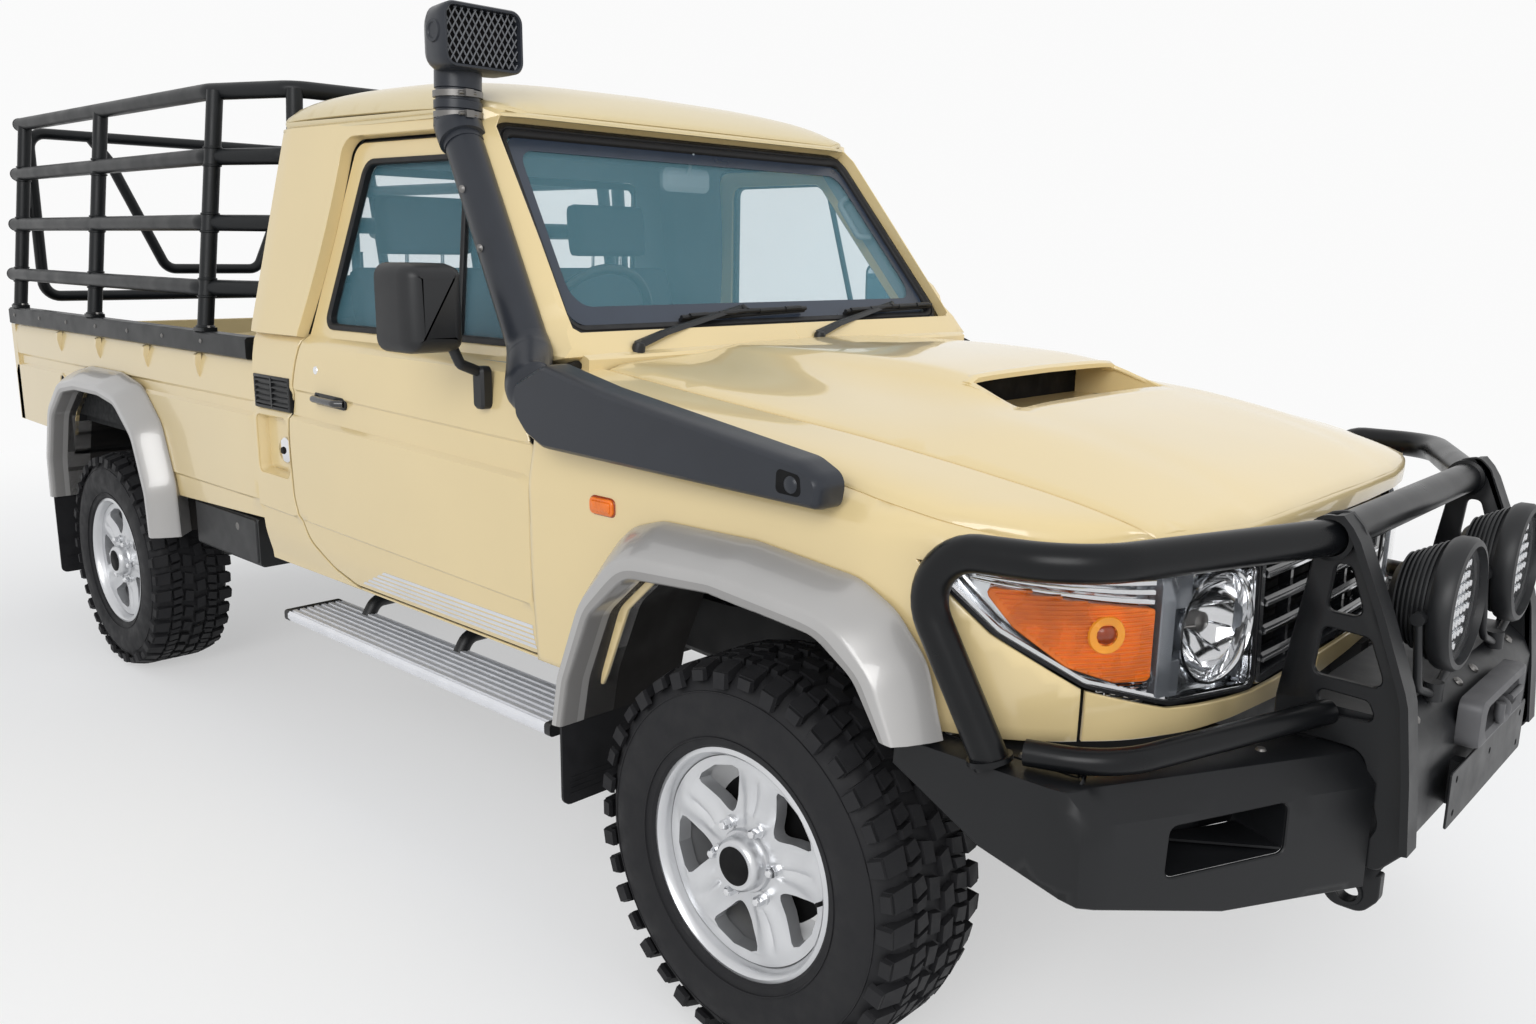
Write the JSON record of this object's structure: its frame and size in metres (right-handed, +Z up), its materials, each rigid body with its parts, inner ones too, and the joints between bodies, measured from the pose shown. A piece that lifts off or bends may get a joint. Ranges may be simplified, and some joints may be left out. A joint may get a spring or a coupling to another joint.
{
  "type": "lifted off-road 4x4 single-cab pickup",
  "caption": "Lifted single-cab four-wheel-drive pickup with a tube cage on its load bed, bull bar, snorkel and side steps; wheels, steering, doors, bonnet and gates move.",
  "frame": {"origin": "centre of the footprint's box on the ground, under the middle of the vehicle", "axes": "+X forward, +Y to the vehicle's left, +Z up"},
  "size_m": [5.36, 2.025, 2.048],
  "materials": {
    "paint": "gloss",
    "flare_grey": "gloss",
    "black_steel": "satin powder coat",
    "chassis_black": "satin",
    "wheel_silver": "painted silver",
    "tyre": "moulded",
    "glass": "clear",
    "seal_rubber": "matte",
    "black_plastic": "grained",
    "lamp": "clear lens over reflector",
    "tail_red": "red lens",
    "grille_black": "gloss",
    "step_aluminium": "ribbed, satin",
    "upholstery": "woven",
    "cast_metal": "cast",
    "steel": "satin"
  },
  "bodies": {
    "vehicle": {"bed_box": "paint", "bed_rails": "black_steel", "bull_bar": "black_steel", "bumper_wings": "black_steel", "cab_shell": "paint", "cab_windows": "glass", "cage": "black_steel", "chassis_frame": "chassis_black", "crossmembers": "chassis_black", "dashboard": "black_plastic", "engine_gearbox": "cast_metal", "exhaust": "steel", "fender_left": "paint", "fender_right": "paint", "front_axle": "chassis_black", "front_bumper": "black_steel", "front_flares": "flare_grey", "front_panel": "paint", "fuel_tank": "chassis_black", "grille": "grille_black", "headlamps": "lamp", "mudflaps": "black_plastic", "propshafts": "chassis_black", "radiator": "chassis_black", "rear_axle": "chassis_black", "rear_bumper": "black_steel", "rear_flares": "flare_grey", "roof_panel": "paint", "seat_bases": "chassis_black", "seat_left": "upholstery", "seat_right": "upholstery", "side_boxes": "black_plastic", "side_steps": "step_aluminium", "snorkel": "black_plastic", "spot_lamps": "black_plastic", "steering_wheel": "black_plastic", "suspension": "chassis_black", "tail_lamps": "tail_red", "window_seals": "seal_rubber", "wipers": "black_plastic"},
    "wheel_front_right": {"tyre_front_right": "tyre", "rim_front_right": "wheel_silver"},
    "wheel_front_left": {"tyre_front_left": "tyre", "rim_front_left": "wheel_silver"},
    "wheel_rear_right": {"tyre_rear_right": "tyre", "rim_rear_right": "wheel_silver"},
    "wheel_rear_left": {"tyre_rear_left": "tyre", "rim_rear_left": "wheel_silver"},
    "steer_right": {"knuckle_right": "cast_metal"},
    "steer_left": {"knuckle_left": "cast_metal"},
    "track_rod": {"tie_rod": "chassis_black"},
    "door_right_leaf": {"door_right": "paint", "door_glass_right": "glass", "mirror_right": "black_plastic"},
    "door_left_leaf": {"door_left": "paint", "door_glass_left": "glass", "mirror_left": "black_plastic"},
    "bonnet_lid": {"bonnet": "paint"},
    "tailgate_leaf": {"tailgate": "paint"},
    "gate_leaf": {"cage_gate": "black_steel"}
  },
  "joints": [
    {"name": "steering_right", "type": "hinge", "parent": "vehicle", "child": "steer_right", "pos_m": [1.64, -0.69, 0.388], "axis": [0, 0, 1], "range_deg": [-30, 30]},
    {"name": "steering_left", "type": "hinge", "parent": "vehicle", "child": "steer_left", "pos_m": [1.64, 0.69, 0.388], "axis": [0, 0, 1], "range_deg": [-30, 30]},
    {"name": "track_rod_pivot", "type": "hinge", "parent": "steer_right", "child": "track_rod", "pos_m": [1.515, -0.69, 0.29], "axis": [0, 0, 1], "range_deg": [-30, 30]},
    {"name": "spin_front_right", "type": "hinge", "parent": "steer_right", "child": "wheel_front_right", "pos_m": [1.64, -0.77, 0.388], "axis": [0, 1, 0], "continuous": true},
    {"name": "spin_front_left", "type": "hinge", "parent": "steer_left", "child": "wheel_front_left", "pos_m": [1.64, 0.77, 0.388], "axis": [0, 1, 0], "continuous": true},
    {"name": "spin_rear_right", "type": "hinge", "parent": "vehicle", "child": "wheel_rear_right", "pos_m": [-1.54, -0.73, 0.388], "axis": [0, 1, 0], "continuous": true},
    {"name": "spin_rear_left", "type": "hinge", "parent": "vehicle", "child": "wheel_rear_left", "pos_m": [-1.54, 0.73, 0.388], "axis": [0, 1, 0], "continuous": true},
    {"name": "door_right_hinge", "type": "hinge", "parent": "vehicle", "child": "door_right_leaf", "pos_m": [0.953, -0.838, 0.95], "axis": [0, 0, 1], "range_deg": [0, 65]},
    {"name": "door_left_hinge", "type": "hinge", "parent": "vehicle", "child": "door_left_leaf", "pos_m": [0.953, 0.838, 0.95], "axis": [0, 0, -1], "range_deg": [0, 65]},
    {"name": "bonnet_hinge", "type": "hinge", "parent": "vehicle", "child": "bonnet_lid", "pos_m": [1.028, 0, 1.284], "axis": [0, -1, 0], "range_deg": [0, 50]},
    {"name": "tailgate_hinge", "type": "hinge", "parent": "vehicle", "child": "tailgate_leaf", "pos_m": [-2.54, 0, 0.79], "axis": [0, -1, 0], "range_deg": [0, 90]},
    {"name": "cage_gate_hinge", "type": "hinge", "parent": "vehicle", "child": "gate_leaf", "pos_m": [-2.53, 0.716, 1.6], "axis": [0, 0, -1], "range_deg": [0, 100]}
  ],
  "couplings": [
    {"joint": "steering_left", "follows": "steering_right", "ratio": 1},
    {"joint": "track_rod_pivot", "follows": "steering_right", "ratio": -1}
  ]
}
